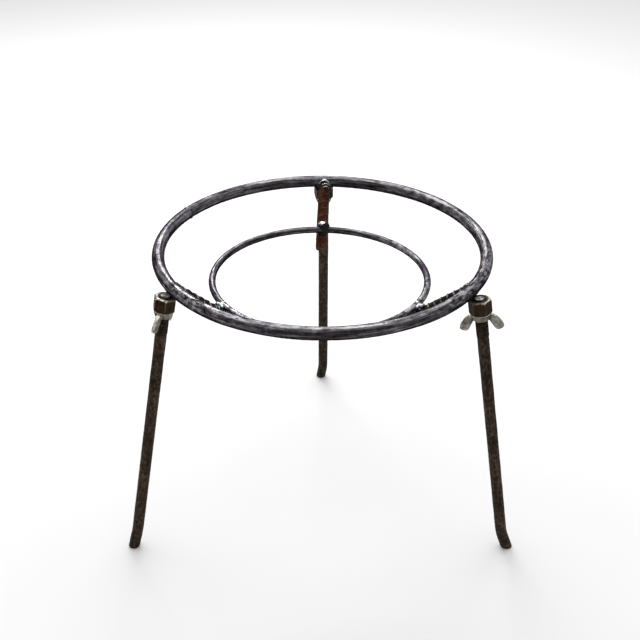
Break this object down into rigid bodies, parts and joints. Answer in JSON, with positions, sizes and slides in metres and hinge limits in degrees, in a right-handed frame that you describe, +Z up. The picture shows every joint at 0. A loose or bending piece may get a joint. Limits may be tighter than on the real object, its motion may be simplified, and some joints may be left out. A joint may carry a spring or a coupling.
{
  "type": "burner tripod stand",
  "caption": "Three-legged steel stand that holds a pot or flask over a burner: large ring, smaller dropped ring on spokes, screw-in legs locked by wing nuts.",
  "frame": {"origin": "on the axis of the outer ring, in the plane that the three feet stand on", "axes": "+Z up along the ring axis; +Y towards the back leg; +X to the right, with the left and right legs towards -Y"},
  "size_m": [0.3867, 0.3792, 0.2934],
  "materials": {
    "mill_scale_steel": "hot-rolled round bar, dark scale worn bright along the top",
    "rusty_rebar": "ribbed bar with brown rust",
    "rusty_nut_steel": "brown rusted nut with a bright worn top edge",
    "dark_rod_steel": "dark threaded rod with faint rust",
    "zinc_casting": "dull zinc-plated casting",
    "weld_metal": "bright rippled weld bead"
  },
  "bodies": {
    "frame": {"outer_ring": "mill_scale_steel", "inner_ring": "mill_scale_steel", "outer_ring_butt_weld": "weld_metal", "inner_ring_butt_weld": "weld_metal", "spoke_back": "rusty_rebar", "socket_nut_back": "rusty_nut_steel", "spoke_outer_weld_back": "weld_metal", "spoke_inner_weld_back": "weld_metal", "socket_weld_back": "weld_metal", "spoke_left": "rusty_rebar", "socket_nut_left": "rusty_nut_steel", "spoke_outer_weld_left": "weld_metal", "spoke_inner_weld_left": "weld_metal", "socket_weld_left": "weld_metal", "spoke_right": "rusty_rebar", "socket_nut_right": "rusty_nut_steel", "spoke_outer_weld_right": "weld_metal", "spoke_inner_weld_right": "weld_metal", "socket_weld_right": "weld_metal"},
    "wing_nut_back": {"wing_nut_back": "zinc_casting"},
    "leg_back": {"leg_back": "dark_rod_steel"},
    "wing_nut_left": {"wing_nut_left": "zinc_casting"},
    "leg_left": {"leg_left": "dark_rod_steel"},
    "wing_nut_right": {"wing_nut_right": "zinc_casting"},
    "leg_right": {"leg_right": "dark_rod_steel"}
  },
  "joints": [
    {"name": "leg_back_turn", "type": "hinge", "parent": "frame", "child": "wing_nut_back", "pos_m": [0, 0.16262, 0.28204], "axis": [0, 0.1719, -0.9851], "range_deg": [0, 2880.5]},
    {"name": "leg_back_travel", "type": "slide", "parent": "wing_nut_back", "child": "leg_back", "axis": [0, 0.1719, -0.9851], "range_m": [0, 0.014]},
    {"name": "leg_left_turn", "type": "hinge", "parent": "frame", "child": "wing_nut_left", "pos_m": [-0.14014, -0.08091, 0.28204], "axis": [-0.1615, -0.064, -0.9848], "range_deg": [0, 2880.5]},
    {"name": "leg_left_travel", "type": "slide", "parent": "wing_nut_left", "child": "leg_left", "axis": [-0.1615, -0.064, -0.9848], "range_m": [0, 0.014]},
    {"name": "leg_right_turn", "type": "hinge", "parent": "frame", "child": "wing_nut_right", "pos_m": [0.14135, -0.08161, 0.28204], "axis": [0.1488, -0.0516, -0.9875], "range_deg": [0, 2880.5]},
    {"name": "leg_right_travel", "type": "slide", "parent": "wing_nut_right", "child": "leg_right", "axis": [0.1488, -0.0516, -0.9875], "range_m": [0, 0.014]}
  ],
  "couplings": [
    {"joint": "leg_back_turn", "follows": "leg_back_travel", "rad_per_m": 3590.4},
    {"joint": "leg_left_turn", "follows": "leg_left_travel", "rad_per_m": 3590.4},
    {"joint": "leg_right_turn", "follows": "leg_right_travel", "rad_per_m": 3590.4}
  ]
}
